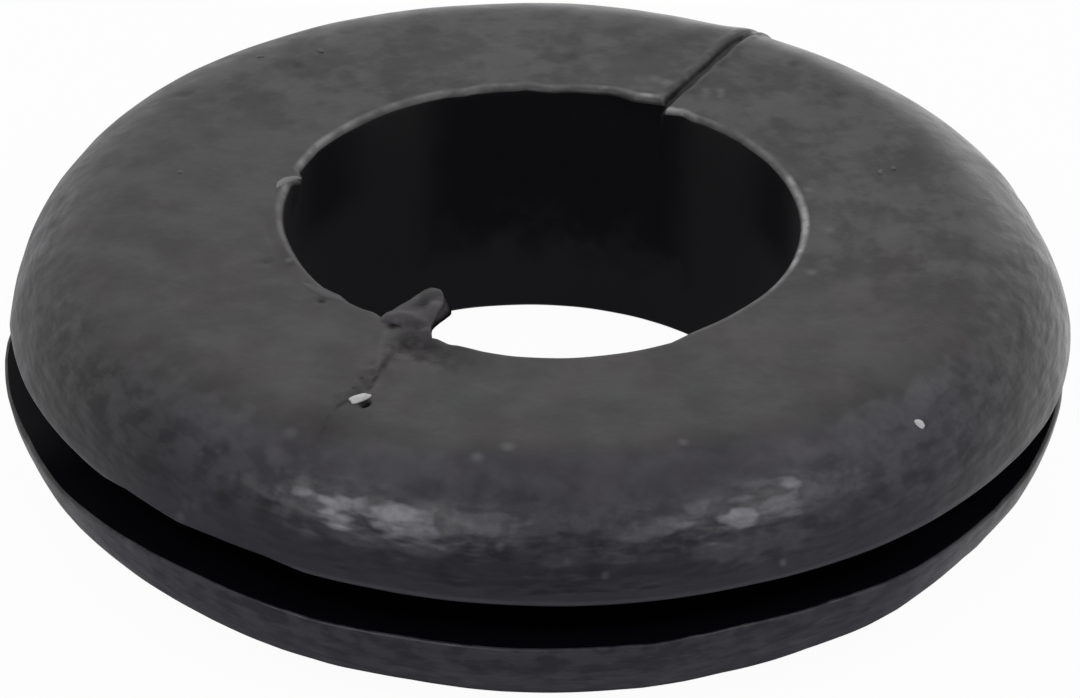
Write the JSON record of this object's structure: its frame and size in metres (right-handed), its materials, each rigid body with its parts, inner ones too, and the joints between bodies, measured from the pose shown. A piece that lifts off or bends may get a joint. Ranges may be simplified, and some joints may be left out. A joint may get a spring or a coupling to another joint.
{
  "type": "grommet",
  "caption": "Round black rubber grommet with a straight bore and a groove round its rim that grips the edge of a hole in sheet metal.",
  "frame": {"origin": "on the bore's axis, in the plane of the lower flange's flat face", "axes": "+Z along the bore, from the lower flange to the upper flange; +X and +Y lie in the lower face, and the knit line is 62 degrees from +X"},
  "size_m": [0.0384, 0.0384, 0.0095],
  "materials": {
    "rubber": "matt moulded rubber with a faint grey bloom"
  },
  "bodies": {
    "root": {"grommet": "rubber"}
  },
  "joints": []
}
